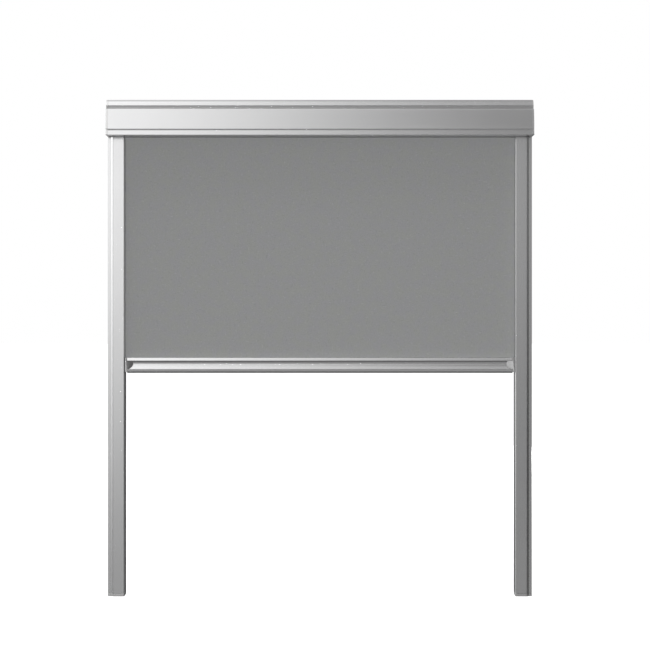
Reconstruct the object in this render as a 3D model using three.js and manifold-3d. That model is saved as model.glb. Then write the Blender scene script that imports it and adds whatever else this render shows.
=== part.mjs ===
// A roof-window roller blind: an aluminium casing with a spring roller, two side channels, a
// blackout fabric, and a bottom bar that runs in the channels and stays where it is put.
//
// Millimetres, +Z up, +X to the right, the room on the -Y side. The origin is the centre of the
// casing's flat back face. Sections are drawn in depth, which is measured forwards from that
// face (depth = -Y), and z. The bar and the roller are drawn about their own origins.

import * as THREE from "three";
import { mergeVertices } from "three/addons/utils/BufferGeometryUtils.js";
import Module from "manifold-3d";

// ---- Overall sizes ----
const WIDTH = 610; // over both side channels
const CHANNEL_LENGTH = 656; // side channel, below the casing
const CASING_HEIGHT = 51.5;
const CHANNEL_WIDTH = 24;
const CHANNEL_DEPTH = 24;
const BAR_HEIGHT = 20.5;
const BAR_DEPTH = 16;
const FABRIC_DEPTH = 11; // plane in which the fabric hangs
const BAR_BACK = 4.5; // depth of the bar's back face

// ---- Clearances ----
const FIT = 0.3; // between pieces that are fitted together
const RUNNING = 0.4; // between pieces that run past each other
const BORE_FIT = 0.1; // round a screw or a fixed shaft
const TURNING = 0.3; // round a shaft or a pin that turns in its bore
const PAST = 1; // how far a cutting tool runs past the piece it cuts

// ---- Roller ----
const TUBE_RADIUS = 11;
const TUBE_WALL = 1.2;
const TUBE_INSET = 16; // from the blind's side to the end of the tube and of the fabric
const WOUND = 2.1; // thickness of the fabric wound on the tube
const FABRIC_THICKNESS = 0.45;
const SPLINE_WIDTH = 2;
const SPLINE_HEIGHT = 1.2;
const RIB_FLOOR = 0.9; // wall under the spline groove
const PLUG_LENGTH = 13;
const FLANGE = 1.7;
const SHAFT_RADIUS = 3;
const SHAFT_FLAT = 3.4; // across the flats of the shaft's outer end
const SHAFT_END = { slot: 0.5, tip: 1, inner: 4 }; // slot and tip inside the end plate
const NECK_RADIUS = 5.8;
const NECK_LENGTH = 10;
const SPRING_LENGTH = 206;
const SPRING_TURNS = 20;
const SPRING_RADIUS = 7.2; // to the middle of the wire
const SPRING_WIRE = 0.6; // radius of the wire
const PIN_RADIUS = 2.5;
const PIN_COLLAR = 4;
const PIN_ENGAGEMENT = 3; // how far the idle pin reaches into its socket
const PIN_TRAVEL = 3.4;
const IDLE_PLUG_LENGTH = 27;

// ---- Casing ----
const CASING_WALL = 1.6;
const COVER_WALL = 1.5;
const ROLL_ROOM = 6.95; // between the roll at rest and the front cover
const AXIS_RISE = 1; // roller axis above the middle of the casing
const TOP_BAND = { run: 6.5, drop: 8.75, rise: 1.2, inner: 0.6 };
const BAND_SETBACK = 7; // foot of the top band behind the cover's crown
const GROOVE = { height: 5.2, depth: 1.6, lean: 0.75 };
const LOWER_BAND = 6.4;
const BAND_LEAN = 0.6; // how far the lower band's top stands behind its foot
const FOOT_EDGE = 0.4; // chamfer under the lower band
const FINE_GROOVE = { height: 2.1, depth: 1.2, upperTaper: 0.4, lowerTaper: 0.3, wall: 0.8 };
const COVER_LEAN = 2.9; // how far the cover's top edge stands behind its crown
const COVER_ROUND = 1.6;
const COVER_RISE = 0.5; // how far the cover's face bows out
const COVER_CHAMFER = { run: 0.3, drop: 0.7 }; // inside its top edge
const RETURN_DEPTH = 25; // where the cover's bottom return ends
const END_PLATE = 3;
const PORT = { radius: 2.6, bore: 1.4, edge: 5.75 };
const SCREW_HEAD = { radius: 2.3, height: 1.7 };
const CASING_SCREW = 11; // length of the shank
const BRACKET = { from: 6.3, to: 35.7, low: -14, high: 15.5, thickness: 1.6, hole: 2.2, offset: 9 };
const BOSS_RADIUS = 6;
const CAP_TAB = { reach: 8, thickness: 1.4, face: 1.2, setback: 5 }; // inside the casing's ends
const CAP_FOOT = 2;
const CASING_SEAL = { inset: 2, gap: 0.2, height: 2 };
const SPIGOT = { from: 6.7, to: 14, back: 4, front: 9, drop: 5 };

// ---- Side channels ----
const CHANNEL_WALL = 1.6;
const EDGE_WALL = 1.4;
const LIP = 4.5; // flat lip at the outer edge of the channel's face
const LIP_SETBACK = 3;
const SLOPE_RUN = 2.9;
const JOINT = 0.5; // visible joint between the channel and its cover
const LEDGE = 2.1;
const LEDGE_WALL = 1.3;
const LIP_TURN = 0.7; // past the lip's edge, where the channel turns forwards behind its slope
const CLIP = 1.1;
const BARB = 1.2;
const BARB_WALL = 0.8;
const COVER_CORNER = 0.7;
const SLOT_HALF = 5; // half the slot that the fabric runs in
const PILE_GAP = 2; // half the gap between the brush piles
const PILE_INSET = 0.1;
const CHANNEL_PORT = { radius: 2.4, bore: 1.3, from: 3.9 };
const MOUNTING_HOLE = { radius: 2.2, from: 13, edge: 34 };
const CHANNEL_CAP = 4;
const BAR_STOP = { from: 8, to: 20, back: 11, height: 8 };
const CHANNEL_SCREW = 12;

// ---- Bottom bar ----
const BAR_WALL = 1.3;
const BAR_UPPER_GAP = 5.65; // bar's top below the casing when the blind is open
const BAR_LOWER_GAP = 6.1; // bar's foot above the channels' ends when the blind is closed
const FLANGE_HEIGHT = 4.15;
const FLANGE_LEAN = 0.7; // how far the flange's top stands behind its foot
const LIP_LEAN = 0.5; // how far the lower lip's foot stands behind its top
const SCOOP = { height: 12.2, upper: 22, lower: 37.5, ledge: 1.2 }; // angles its curve spans
const KEDER = { radius: 1.9, cavity: 2.3, below: 3.9, mouth: 1.6 };
const SEAL = { head: 3.2, stem: 1.4, lip: 5, thickness: 1, headHeight: 1.2, rise: 1, setback: 3.3 };
const BAR_CAP = 2.9;
const WEDGE_LENGTH = 9.7;
const BAR_PORT = { radius: 2.3, bore: 1.1, back: 2.9 };
const BAR_SCREW = 9;
const TONGUE = { back: 10.5, front: 12.1, top: -10.4, foot: -16.6, reach: 15.4, play: 0.2 };
const SLIDE = { from: 6.8, to: 21.6, back: 3.6, clear: 0.5, top: -2.4, foot: -18 };
const PAD = { from: 12.5, to: 21, margin: 2.5 };
const LEAF = { from: 10, to: 18, thickness: 0.3, bow: 1.05, margin: 1.6 };
const FABRIC_TUCK = 1.6; // how far the fabric reaches into the bar

// ---- Derived places ----
const HALF_WIDTH = WIDTH / 2;
const TOP = CASING_HEIGHT / 2;
const BOTTOM = -TOP;
const ROLL_RADIUS = TUBE_RADIUS + BORE_FIT + WOUND + BORE_FIT;
const AXIS_DEPTH = FABRIC_DEPTH + FABRIC_THICKNESS + ROLL_RADIUS;
const CROWN = AXIS_DEPTH + ROLL_RADIUS + ROLL_ROOM + COVER_WALL;
const CASING_HALF = HALF_WIDTH - END_PLATE;
const TUBE_HALF = HALF_WIDTH - TUBE_INSET;
const BAND_FOOT = TOP - TOP_BAND.drop;
const COVER_TOP = BAND_FOOT - GROOVE.height;
const LOWER_EDGE = BOTTOM + LOWER_BAND;
const PORT_DEPTH = CASING_WALL + PORT.radius - RUNNING;
const PORT_HEIGHT = TOP - PORT.edge;
const CHANNEL_TOP = BOTTOM - FIT;
const CHANNEL_BOTTOM = CHANNEL_TOP - CHANNEL_LENGTH;
const BAR_UP = BOTTOM - BAR_UPPER_GAP;
const BAR_DOWN = CHANNEL_BOTTOM + BAR_LOWER_GAP + BAR_HEIGHT;
const BAR_TOP = (BAR_UP + BAR_DOWN) / 2;
const BAR_FRONT = BAR_BACK + BAR_DEPTH;
const BAR_CAP_OUTER = HALF_WIDTH - CHANNEL_WIDTH - RUNNING;
const BAR_CAP_INNER = BAR_CAP_OUTER - BAR_CAP;
const BAR_HALF = BAR_CAP_INNER - FIT;
const SCOOP_UPPER = THREE.MathUtils.degToRad(SCOOP.upper);
const SCOOP_LOWER = THREE.MathUtils.degToRad(SCOOP.lower);
const SCOOP_RADIUS = SCOOP.height / (Math.sin(SCOOP_UPPER) + Math.sin(SCOOP_LOWER));
const SCOOP_DEPTH = BAR_FRONT - SCOOP.ledge + SCOOP_RADIUS * Math.cos(SCOOP_LOWER);
const SCOOP_Z = -(FLANGE_HEIGHT + SCOOP_RADIUS * Math.sin(SCOOP_UPPER));
const SCOOP_FOOT = -(FLANGE_HEIGHT + SCOOP.height);
const BOSS_FACE = TUBE_HALF + FIT + FLANGE + TURNING * 4;

const SIDES = { left: -1, right: 1 };
const ROUND = 24; // sides of a shaft, a pin or a bore
const TUBE_ROUND = 32;

const wasm = await Module();
wasm.setup();

const ALUMINIUM = material(0xb9babc, 0.34, 0.9);
const FABRIC = material(0x8d8d8f, 0.95, 0);
const STEEL = material(0x8f9296, 0.35, 1);
const PLASTIC = material(0xa9abad, 0.55, 0);
const SILVER_PAINT = material(0xb6b7b9, 0.4, 0.6);
const DARK_PLASTIC = material(0x3a3b3d, 0.6, 0);
const PILE = material(0x26272a, 1, 0);
const RUBBER = material(0x1d1d1f, 0.85, 0);

function material(color, roughness, metalness) {
  return new THREE.MeshStandardMaterial({ color, roughness, metalness });
}

// ---- Solids ----

// The closed solid of a geometry whose shared vertices are merged.
function solidOf(geometry) {
  const bare = geometry.index ? geometry.toNonIndexed() : geometry.clone();
  bare.deleteAttribute("normal");
  bare.deleteAttribute("uv");
  const merged = mergeVertices(bare);
  return new wasm.Manifold(
    new wasm.Mesh({
      numProp: 3,
      vertProperties: merged.attributes.position.array,
      triVerts: new Uint32Array(merged.index.array),
    }),
  );
}

function join(first, ...others) {
  return others.reduce((made, other) => made.add(other), first);
}

function cut(first, ...tools) {
  return tools.reduce((made, tool) => made.subtract(tool), first);
}

// Three.js axes for a section drawn in depth and z and run along x.
const ALONG_X = new THREE.Matrix4().makeBasis(
  new THREE.Vector3(0, 1, 0),
  new THREE.Vector3(0, 0, 1),
  new THREE.Vector3(1, 0, 0),
);

function extrusion(points, length) {
  const shape = new THREE.Shape(points.map(([u, v]) => new THREE.Vector2(u, v)));
  return new THREE.ExtrudeGeometry(shape, { depth: length, bevelEnabled: false });
}

// A section of [depth, z] points, run along x.
function alongX(section, x0, x1) {
  const points = section.map(([depth, z]) => [-depth, z]);
  const geometry = extrusion(points, Math.abs(x1 - x0));
  geometry.applyMatrix4(ALONG_X).translate(Math.min(x0, x1), 0, 0);
  return solidOf(geometry);
}

// A section of [x, depth] points, run along z.
function alongZ(section, z0, z1) {
  const points = section.map(([x, depth]) => [x, -depth]);
  return solidOf(extrusion(points, Math.abs(z1 - z0)).translate(0, 0, Math.min(z0, z1)));
}

function block([x0, x1], [depth0, depth1], [z0, z1]) {
  const size = [x1 - x0, depth1 - depth0, z1 - z0].map(Math.abs);
  const geometry = new THREE.BoxGeometry(...size);
  return solidOf(geometry.translate((x0 + x1) / 2, -(depth0 + depth1) / 2, (z0 + z1) / 2));
}

function rodX(radius, [x0, x1], depth = 0, z = 0, sides = ROUND) {
  const geometry = new THREE.CylinderGeometry(radius, radius, Math.abs(x1 - x0), sides);
  return solidOf(geometry.rotateZ(Math.PI / 2).translate((x0 + x1) / 2, -depth, z));
}

function rodZ(radius, [z0, z1], x, depth, sides = ROUND / 2) {
  const geometry = new THREE.CylinderGeometry(radius, radius, Math.abs(z1 - z0), sides);
  return solidOf(geometry.rotateX(Math.PI / 2).translate(x, -depth, (z0 + z1) / 2));
}

function rodY(radius, [depth0, depth1], x, z, sides = ROUND / 2) {
  const geometry = new THREE.CylinderGeometry(radius, radius, Math.abs(depth1 - depth0), sides);
  return solidOf(geometry.translate(x, -(depth0 + depth1) / 2, z));
}

// Points of an arc, with angles in degrees.
function arc(u, v, radius, from, to, steps) {
  return Array.from({ length: steps + 1 }, (_, i) => {
    const angle = THREE.MathUtils.degToRad(from + ((to - from) * i) / steps);
    return [u + radius * Math.cos(angle), v + radius * Math.sin(angle)];
  });
}

// Points of a shallow bow from a to b that stands out by rise to the left of its chord.
function bow(a, b, rise, steps) {
  const [du, dv] = [b[0] - a[0], b[1] - a[1]];
  const length = Math.hypot(du, dv);
  return Array.from({ length: steps + 1 }, (_, i) => {
    const t = i / steps;
    const out = (4 * rise * t * (1 - t)) / length;
    return [a[0] + du * t - dv * out, a[1] + dv * t + du * out];
  });
}

class Helix extends THREE.Curve {
  constructor(radius, turns, from, to) {
    super();
    Object.assign(this, { radius, turns, from, to });
  }

  getPoint(t) {
    const angle = 2 * Math.PI * this.turns * t;
    const x = this.from + (this.to - this.from) * t;
    return new THREE.Vector3(x, this.radius * Math.cos(angle), this.radius * Math.sin(angle));
  }
}

// A coil spring round the x axis.
function coil(radius, wire, turns, from, to) {
  const sides = 6;
  const stepsPerTurn = 12;
  const shape = new THREE.Shape(
    arc(0, 0, wire, 0, 360 - 360 / sides, sides - 1).map(([u, v]) => new THREE.Vector2(u, v)),
  );
  const geometry = new THREE.ExtrudeGeometry(shape, {
    steps: turns * stepsPerTurn,
    bevelEnabled: false,
    extrudePath: new Helix(radius, turns, from, to),
  });
  return solidOf(geometry);
}

function mesh(name, solid, look) {
  const { vertProperties, triVerts } = solid.getMesh();
  const geometry = new THREE.BufferGeometry();
  geometry.setAttribute("position", new THREE.BufferAttribute(vertProperties, 3));
  geometry.setIndex(new THREE.BufferAttribute(triVerts, 1));
  geometry.computeVertexNormals();
  const made = new THREE.Mesh(geometry, look);
  made.name = name;
  return made;
}

// A countersunk screw along x, its head outermost. The head's outer face is at x = face.
function screwX(face, side, length, radius, depth, z) {
  const headEnd = face - side * SCREW_HEAD.height;
  return join(
    rodX(SCREW_HEAD.radius, [headEnd, face], depth, z, ROUND / 2),
    rodX(radius, [headEnd - side * length, headEnd + side * BORE_FIT], depth, z, ROUND / 2),
  );
}

// ---- Casing ----

// The rounded top band, from the flat top to the groove.
function bandCurve() {
  const foot = CROWN - BAND_SETBACK;
  return bow([foot - TOP_BAND.run, TOP], [foot, BAND_FOOT], TOP_BAND.rise, 6);
}

// The cover's face, from its top edge down to the foot of the lower band.
function coverCurve() {
  const face = CROWN - COVER_LEAN;
  const round = arc(face - COVER_ROUND, COVER_TOP - COVER_ROUND, COVER_ROUND, 90, 0, 4);
  const grooveTop = LOWER_EDGE + FINE_GROOVE.height;
  const floor = CROWN - FINE_GROOVE.depth;
  return [
    ...round,
    ...bow([face, COVER_TOP - COVER_ROUND], [CROWN, grooveTop], COVER_RISE, 8).slice(1),
    [floor, grooveTop - FINE_GROOVE.upperTaper],
    [floor, LOWER_EDGE + FINE_GROOVE.lowerTaper],
    [CROWN - BAND_LEAN, LOWER_EDGE],
    [CROWN, BOTTOM + FOOT_EDGE],
    [CROWN - FOOT_EDGE, BOTTOM],
  ];
}

function casingRear() {
  const foot = CROWN - BAND_SETBACK;
  const floor = foot - GROOVE.depth;
  const lip = floor - COVER_WALL;
  const ledge = COVER_TOP - COVER_WALL - FIT;
  const section = [
    [0, BOTTOM],
    [0, TOP],
    ...bandCurve(),
    [floor + GROOVE.lean, BAND_FOOT],
    [floor, COVER_TOP],
    [floor, ledge],
    [foot - FIT, ledge],
    [foot - FIT, ledge - COVER_WALL],
    [lip, ledge - COVER_WALL],
    [lip, BAND_FOOT + TOP_BAND.inner],
    [foot - TOP_BAND.run - TOP_BAND.inner, TOP - CASING_WALL],
    [CASING_WALL, TOP - CASING_WALL],
    [CASING_WALL, BOTTOM],
  ];
  const run = [-CASING_HALF, CASING_HALF];
  const past = [-CASING_HALF - PAST, CASING_HALF + PAST];
  const heights = [-PORT_HEIGHT, PORT_HEIGHT];
  const ports = heights.map((z) => rodX(PORT.radius, run, PORT_DEPTH, z, ROUND / 2));
  const bores = heights.map((z) => rodX(PORT.bore, past, PORT_DEPTH, z, ROUND / 2));
  return cut(join(alongX(section, ...run), ...ports), ...bores);
}

function casingFront() {
  const face = CROWN - COVER_LEAN;
  const inner = COVER_TOP - COVER_WALL;
  const jog = CROWN - FINE_GROOVE.depth - COVER_WALL;
  const grooveTop = LOWER_EDGE + FINE_GROOVE.height;
  const hook = CROWN - BAND_SETBACK - GROOVE.depth + FIT;
  const section = [
    [hook, COVER_TOP],
    ...coverCurve(),
    [RETURN_DEPTH, BOTTOM],
    [RETURN_DEPTH, BOTTOM + COVER_WALL],
    [CROWN - COVER_WALL, BOTTOM + COVER_WALL],
    [jog, LOWER_EDGE - FINE_GROOVE.wall],
    [jog, grooveTop + FINE_GROOVE.wall],
    [CROWN - COVER_WALL, grooveTop + FINE_GROOVE.wall + FINE_GROOVE.depth],
    [face - COVER_WALL, inner - COVER_CHAMFER.drop],
    [face - COVER_WALL - COVER_CHAMFER.run, inner],
    [hook, inner],
  ];
  return alongX(section, -CASING_HALF, CASING_HALF);
}

function casingBrushSeal() {
  const half = TUBE_HALF - CASING_SEAL.inset;
  const foot = BOTTOM + CASING_SEAL.gap;
  const pile = FABRIC_DEPTH + FABRIC_THICKNESS / 2 + 2 * RUNNING;
  return block([-half, half], [pile, RETURN_DEPTH - FIT], [foot, foot + CASING_SEAL.height]);
}

function endPlate(side) {
  const section = [
    [0, BOTTOM],
    [0, TOP],
    ...bandCurve(),
    [CROWN - BAND_SETBACK - GROOVE.depth + GROOVE.lean, BAND_FOOT],
    [CROWN - BAND_SETBACK - GROOVE.depth, COVER_TOP],
    ...coverCurve(),
  ];
  return alongX(section, side * CASING_HALF, side * HALF_WIDTH);
}

// The tabs that hold the two casing shells, and the spigot that drops into the side channel.
function endCapTabs(side) {
  const tab = [side * (CASING_HALF - CAP_TAB.reach), side * (CASING_HALF + PAST)];
  const spigot = [side * (HALF_WIDTH - SPIGOT.from), side * (HALF_WIDTH - SPIGOT.to)];
  const foot = [side * (CASING_HALF + PAST), side * (HALF_WIDTH - SPIGOT.to)];
  const under = TOP - CASING_WALL - FIT;
  const over = BOTTOM + COVER_WALL + FIT;
  const behind = CROWN - COVER_LEAN - COVER_WALL - 2 * FIT;
  const upper = [PORT_DEPTH + PORT.radius + FIT, BRACKET.to - CAP_TAB.reach];
  const lower = [RETURN_DEPTH + COVER_WALL, CROWN - CAP_TAB.setback];
  const between = [SPIGOT.back, SPIGOT.front];
  return [
    block(tab, upper, [under - CAP_TAB.thickness, under]),
    block(tab, lower, [over, over + CAP_TAB.thickness]),
    block(tab, [behind - CAP_TAB.face, behind], [-CAP_TAB.reach, CAP_TAB.reach]),
    block(foot, between, [BOTTOM, BOTTOM + CAP_FOOT]),
    block(spigot, between, [BOTTOM - SPIGOT.drop, BOTTOM + PAST]),
  ];
}

function endCap(side, socket) {
  const recess = block(
    [side * (HALF_WIDTH - BRACKET.thickness - FIT), side * (HALF_WIDTH + PAST)],
    [BRACKET.from - FIT, BRACKET.to + FIT],
    [BRACKET.low - FIT, BRACKET.high + FIT],
  );
  const boss = rodX(
    BOSS_RADIUS,
    [side * BOSS_FACE, side * (CASING_HALF + FIT)],
    AXIS_DEPTH,
    AXIS_RISE,
  );
  const through = [side * (CASING_HALF - PAST), side * (HALF_WIDTH + PAST)];
  const headFloor = side * (HALF_WIDTH - SCREW_HEAD.height - FIT);
  const screws = [-PORT_HEIGHT, PORT_HEIGHT].map((z) =>
    join(
      rodX(PORT.bore, through, PORT_DEPTH, z, ROUND / 2),
      rodX(SCREW_HEAD.radius + BORE_FIT, [headFloor, through[1]], PORT_DEPTH, z, ROUND / 2),
    ),
  );
  return cut(join(endPlate(side), boss, ...endCapTabs(side)), recess, socket, ...screws);
}

// The round socket in the left end cap that takes the idle pin.
function pinSocket() {
  const span = [-(BOSS_FACE - PAST), -(BOSS_FACE + PIN_ENGAGEMENT + PAST)];
  return rodX(PIN_RADIUS + TURNING + BORE_FIT, span, AXIS_DEPTH, AXIS_RISE);
}

// The slot in the right end cap that holds the shaft's flats.
function shaftSlot() {
  const half = SHAFT_FLAT / 2 + BORE_FIT;
  return block(
    [BOSS_FACE - PAST, CASING_HALF - SHAFT_END.slot],
    [AXIS_DEPTH - half, AXIS_DEPTH + half],
    [AXIS_RISE - SHAFT_RADIUS - BORE_FIT, AXIS_RISE + SHAFT_RADIUS + BORE_FIT],
  );
}

function mountingBracket(side) {
  const span = [side * (HALF_WIDTH - BRACKET.thickness), side * HALF_WIDTH];
  const past = [side * (HALF_WIDTH - BRACKET.thickness - PAST), side * (HALF_WIDTH + PAST)];
  const plate = block(span, [BRACKET.from, BRACKET.to], [BRACKET.low, BRACKET.high]);
  const middle = (BRACKET.from + BRACKET.to) / 2;
  const height = (BRACKET.low + BRACKET.high) / 2;
  const holes = [-BRACKET.offset, BRACKET.offset].map((offset) =>
    rodX(BRACKET.hole, past, middle + offset, height, ROUND / 2),
  );
  return cut(plate, ...holes);
}

function casing() {
  const group = new THREE.Group();
  const sockets = { left: pinSocket(), right: shaftSlot() };
  group.add(mesh("casing_rear", casingRear(), ALUMINIUM));
  group.add(mesh("casing_front", casingFront(), ALUMINIUM));
  group.add(mesh("casing_brush_seal", casingBrushSeal(), PILE));
  for (const [name, side] of Object.entries(SIDES)) {
    group.add(mesh(`end_cap_${name}`, endCap(side, sockets[name]), SILVER_PAINT));
    group.add(mesh(`mounting_bracket_${name}`, mountingBracket(side), STEEL));
    for (const [place, z] of [["upper", PORT_HEIGHT], ["lower", -PORT_HEIGHT]]) {
      const radius = PORT.bore - BORE_FIT;
      const screw = screwX(side * HALF_WIDTH, side, CASING_SCREW, radius, PORT_DEPTH, z);
      group.add(mesh(`end_cap_screw_${name}_${place}`, screw, STEEL));
    }
  }
  return group;
}

// ---- Roller, drawn about its own axis ----

const TUBE_BORE = TUBE_RADIUS - TUBE_WALL;
const GROOVE_FLOOR = TUBE_RADIUS - SPLINE_HEIGHT - FIT;
const RIB_INNER = GROOVE_FLOOR - RIB_FLOOR;
const RIB_HALF = SPLINE_WIDTH / 2 + BORE_FIT + RIB_FLOOR;
const ANCHOR_OUTER = TUBE_HALF - PLUG_LENGTH - 2;
const ANCHOR_INNER = ANCHOR_OUTER - PLUG_LENGTH;
const DRIVE_OUTER = ANCHOR_INNER - SPRING_LENGTH;
const DRIVE_INNER = DRIVE_OUTER - PLUG_LENGTH;

function rollerTube() {
  const run = [-TUBE_HALF, TUBE_HALF];
  const past = [-TUBE_HALF - PAST, TUBE_HALF + PAST];
  const tube = cut(
    rodX(TUBE_RADIUS, run, 0, 0, TUBE_ROUND),
    rodX(TUBE_BORE, past, 0, 0, TUBE_ROUND),
  );
  const rib = block(run, [-RIB_HALF, RIB_HALF], [RIB_INNER, TUBE_BORE + TUBE_WALL / 2]);
  const half = SPLINE_WIDTH / 2 + BORE_FIT;
  const groove = block(past, [-half, half], [GROOVE_FLOOR, TUBE_RADIUS + PAST]);
  return cut(join(tube, rib), groove);
}

function tubeSpline() {
  const half = SPLINE_WIDTH / 2;
  const floor = GROOVE_FLOOR + BORE_FIT;
  return block([-TUBE_HALF, TUBE_HALF], [-half, half], [floor, floor + SPLINE_HEIGHT]);
}

function fabricRoll() {
  const run = [-TUBE_HALF, TUBE_HALF];
  const past = [-TUBE_HALF - PAST, TUBE_HALF + PAST];
  return cut(
    rodX(ROLL_RADIUS, run, 0, 0, TUBE_ROUND),
    rodX(TUBE_RADIUS + 2 * BORE_FIT, past, 0, 0, TUBE_ROUND),
  );
}

// A plug's body, cut away where the tube's rib runs.
function plugBody([from, to]) {
  const half = RIB_HALF + FIT;
  const low = Math.min(from, to) - PAST;
  const high = Math.max(from, to) + PAST;
  return cut(
    rodX(TUBE_BORE - FIT, [from, to]),
    block([low, high], [-half, half], [RIB_INNER - FIT, TUBE_RADIUS]),
  );
}

function bearingPlug() {
  const bore = rodX(SHAFT_RADIUS + TURNING, [ANCHOR_OUTER, TUBE_HALF + FLANGE + PAST]);
  const flange = rodX(TUBE_RADIUS - FIT, [TUBE_HALF + FIT, TUBE_HALF + FIT + FLANGE]);
  const body = plugBody([TUBE_HALF - PLUG_LENGTH, TUBE_HALF + FIT]);
  return cut(join(body, flange), bore);
}

function springDrivePlug() {
  const neck = rodX(NECK_RADIUS, [DRIVE_OUTER - PAST, DRIVE_OUTER + NECK_LENGTH]);
  const bore = rodX(
    SHAFT_RADIUS + TURNING,
    [DRIVE_INNER - PAST, DRIVE_OUTER + NECK_LENGTH + PAST],
  );
  return cut(join(plugBody([DRIVE_INNER, DRIVE_OUTER]), neck), bore);
}

function springAnchor() {
  const neck = rodX(NECK_RADIUS, [ANCHOR_INNER - NECK_LENGTH, ANCHOR_INNER + PAST]);
  const body = rodX(RIB_INNER - RUNNING, [ANCHOR_INNER, ANCHOR_OUTER]);
  const bore = rodX(
    SHAFT_RADIUS + BORE_FIT,
    [ANCHOR_INNER - NECK_LENGTH - PAST, ANCHOR_OUTER + PAST],
  );
  return cut(join(body, neck), bore);
}

function springShaft() {
  const tang = [BOSS_FACE - FIT, CASING_HALF - SHAFT_END.tip];
  const far = CASING_HALF;
  const flats = [1, -1].map((way) =>
    block(
      [tang[0], far],
      [way * (SHAFT_FLAT / 2), way * (SHAFT_RADIUS + PAST)],
      [-SHAFT_RADIUS - PAST, SHAFT_RADIUS + PAST],
    ),
  );
  return cut(rodX(SHAFT_RADIUS, [DRIVE_INNER - SHAFT_END.inner, tang[1]]), ...flats);
}

function torsionSpring() {
  const from = DRIVE_OUTER + FIT + SPRING_WIRE;
  const to = ANCHOR_INNER - FIT - SPRING_WIRE;
  return coil(SPRING_RADIUS, SPRING_WIRE, SPRING_TURNS, from, to);
}

// The idle end, with its spring-loaded pin. It lies on the left, so its x values are negative.
const PIN_TIP = -(BOSS_FACE + PIN_ENGAGEMENT);
const COLLAR_INSET = 8;
const COLLAR_FACE = -(TUBE_HALF - COLLAR_INSET);
const COLLAR_LENGTH = 2;
const CAP_OVERLAP = 2; // of the spring cap, into the plug and over its end
const COLLAR_BACK = COLLAR_FACE + COLLAR_LENGTH;
const IDLE_PLUG_END = -(TUBE_HALF - IDLE_PLUG_LENGTH);
const SPRING_CAP_FACE = IDLE_PLUG_END - CAP_OVERLAP;
const PIN_TAIL = SPRING_CAP_FACE - PIN_TRAVEL - FIT;
const CAVITY_RADIUS = PIN_COLLAR + TURNING;

function idlePlug() {
  const flange = rodX(TUBE_RADIUS - FIT, [-TUBE_HALF - FIT - FLANGE, -TUBE_HALF - FIT]);
  const body = plugBody([-TUBE_HALF - FIT, IDLE_PLUG_END]);
  const hole = rodX(PIN_RADIUS + TURNING, [-TUBE_HALF - FLANGE - PAST, COLLAR_FACE]);
  const cavity = rodX(CAVITY_RADIUS, [COLLAR_FACE - FIT, IDLE_PLUG_END + PAST]);
  return cut(join(body, flange), hole, cavity);
}

function idleSpringCap() {
  const stem = rodX(CAVITY_RADIUS - BORE_FIT, [SPRING_CAP_FACE, IDLE_PLUG_END + FIT]);
  const head = rodX(CAVITY_RADIUS + CAP_OVERLAP, [IDLE_PLUG_END + FIT, IDLE_PLUG_END + FIT + FLANGE]);
  return join(stem, head);
}

function idlePin() {
  return join(
    rodX(PIN_RADIUS, [PIN_TIP, COLLAR_FACE]),
    rodX(PIN_COLLAR, [COLLAR_FACE, COLLAR_BACK]),
    rodX(PIN_RADIUS - 1, [COLLAR_BACK, PIN_TAIL]),
  );
}

function idlePinSpring() {
  const wire = 0.35;
  const turns = 5;
  return coil(
    PIN_RADIUS + TURNING,
    wire,
    turns,
    COLLAR_BACK + FIT + wire,
    SPRING_CAP_FACE - FIT - wire,
  );
}

function roller() {
  const group = new THREE.Group();
  group.position.set(0, -AXIS_DEPTH, AXIS_RISE);
  group.add(mesh("roller_tube", rollerTube(), ALUMINIUM));
  group.add(mesh("tube_spline", tubeSpline(), PLASTIC));
  group.add(mesh("fabric_roll", fabricRoll(), FABRIC));
  group.add(mesh("bearing_plug", bearingPlug(), DARK_PLASTIC));
  group.add(mesh("spring_drive_plug", springDrivePlug(), DARK_PLASTIC));
  group.add(mesh("torsion_spring", torsionSpring(), STEEL));
  group.add(mesh("spring_anchor", springAnchor(), DARK_PLASTIC));
  group.add(mesh("spring_shaft", springShaft(), STEEL));
  group.add(mesh("idle_plug", idlePlug(), DARK_PLASTIC));
  group.add(mesh("idle_spring_cap", idleSpringCap(), DARK_PLASTIC));
  group.add(mesh("idle_pin", idlePin(), STEEL));
  group.add(mesh("idle_pin_spring", idlePinSpring(), STEEL));
  return group;
}

// ---- Side channels: u runs inwards from the channel's outer face ----

const LIP_DEPTH = CHANNEL_DEPTH - LIP_SETBACK;
const SLOPE_END = LIP + SLOPE_RUN;
const COVER_INNER = CHANNEL_DEPTH - EDGE_WALL;
const LEDGE_FRONT = COVER_INNER - FIT;
const LEDGE_BACK = LEDGE_FRONT - LEDGE_WALL;
const CHANNEL_INNER = CHANNEL_WIDTH - EDGE_WALL;

// A section of [u, depth] points, run along z.
function channelRun(side, section, z0, z1) {
  return alongZ(section.map(([u, depth]) => [side * (HALF_WIDTH - u), depth]), z0, z1);
}

function channelSpan(side, from, to) {
  return [side * (HALF_WIDTH - from), side * (HALF_WIDTH - to)];
}

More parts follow.
